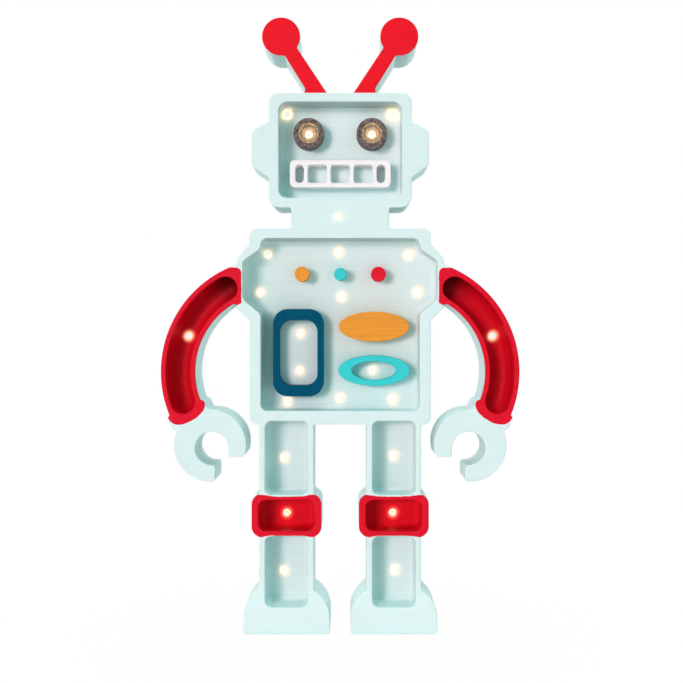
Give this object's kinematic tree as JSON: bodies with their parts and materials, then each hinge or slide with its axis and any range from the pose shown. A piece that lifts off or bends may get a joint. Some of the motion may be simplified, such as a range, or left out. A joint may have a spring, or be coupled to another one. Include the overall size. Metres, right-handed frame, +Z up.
{
  "type": "robot-shaped desk lamp",
  "caption": "Free-standing wooden night lamp cut to a robot's outline, with lit recesses, painted trim and its dimmer, rocker switch and low-voltage inlet on the back cover.",
  "frame": {"origin": "on the ground under the middle of the whole lamp, knob and neck bulb included", "axes": "+Z up, the robot's face looks along -Y, +X to the right of a viewer in front"},
  "size_m": [0.2992, 0.0636, 0.5144],
  "materials": {
    "painted_pine": "satin mint paint, red on antennae, arms and knees",
    "brown_wood": "dark stain",
    "white_wood": "satin paint",
    "orange_wood": "satin paint",
    "turquoise_wood": "satin paint",
    "red_wood": "satin paint",
    "navy_wood": "satin paint",
    "led_lens": "clear lens, lit",
    "black_plastic": "moulded",
    "rocker_plastic": "moulded",
    "wire_jacket": "soft jacket",
    "red_jacket": "soft jacket",
    "plywood": "bare plywood",
    "steel": "zinc plated",
    "brass": "plain",
    "circuit_board": "solder mask",
    "nylon": "moulded"
  },
  "bodies": {
    "lamp_body": {"head_block": "painted_pine", "torso_block": "painted_pine", "antenna_left": "painted_pine", "antenna_right": "painted_pine", "arm_left": "painted_pine", "arm_right": "painted_pine", "leg_left": "painted_pine", "leg_right": "painted_pine", "eye_disc_left": "brown_wood", "eye_disc_right": "brown_wood", "mouth_grille": "white_wood", "chest_button_orange": "orange_wood", "chest_button_turquoise": "turquoise_wood", "chest_button_red": "red_wood", "chest_frame": "navy_wood", "chest_oval": "orange_wood", "chest_ring": "turquoise_wood", "head_bulbs": "led_lens", "eye_bulbs": "led_lens", "neck_bulb": "led_lens", "torso_bulbs": "led_lens", "arm_bulbs": "led_lens", "upper_leg_bulbs": "led_lens", "knee_bulbs": "led_lens", "lower_leg_bulbs": "led_lens", "bulb_sockets": "black_plastic", "string_wire": "wire_jacket", "arm_wires": "wire_jacket", "back_cover": "plywood", "cover_screws": "steel", "switch_housing": "black_plastic", "switch_terminals": "brass", "driver_board": "circuit_board", "board_standoffs": "nylon", "board_screws": "steel", "board_parts": "black_plastic", "dimmer_body": "steel", "dimmer_nut": "steel", "inlet_socket": "black_plastic", "inlet_pin": "brass", "inlet_nut": "steel", "supply_wires": "red_jacket"},
    "switch_rocker": {"switch_rocker": "rocker_plastic"},
    "dimmer_knob": {"dimmer_knob": "black_plastic", "dimmer_shaft": "steel"}
  },
  "joints": [
    {"name": "rocker_tilt", "type": "hinge", "parent": "lamp_body", "child": "switch_rocker", "pos_m": [0, 0.02225, 0.24], "axis": [-1, 0, 0], "range_deg": [0, 18]},
    {"name": "dimmer_turn", "type": "hinge", "parent": "lamp_body", "child": "dimmer_knob", "pos_m": [0, 0.02275, 0.264], "axis": [0, -1, 0], "range_deg": [-140, 140]}
  ]
}
